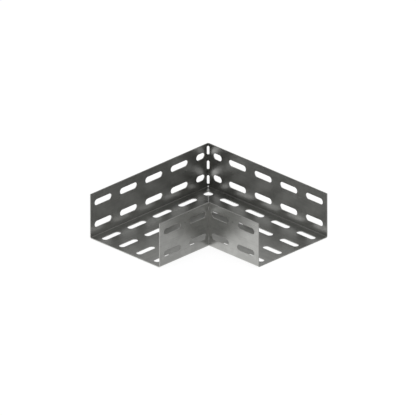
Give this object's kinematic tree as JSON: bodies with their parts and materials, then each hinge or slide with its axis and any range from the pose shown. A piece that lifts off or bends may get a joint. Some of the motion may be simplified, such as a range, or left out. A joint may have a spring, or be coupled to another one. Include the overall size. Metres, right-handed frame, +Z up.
{
  "type": "cable tray bend",
  "caption": "Flat right-angle bend for a perforated cable tray, folded from one slotted steel sheet, open at both ends and at the top.",
  "frame": {"origin": "centre of the bounding box's base, on the underside of the sheet", "axes": "+Z up, out of the open top; one leg leaves the outer corner along -X and the other along -Y"},
  "size_m": [0.1746, 0.1746, 0.0506],
  "materials": {
    "sheet": "satin galvanised"
  },
  "bodies": {
    "root": {"tray_bend": "sheet"}
  },
  "joints": []
}
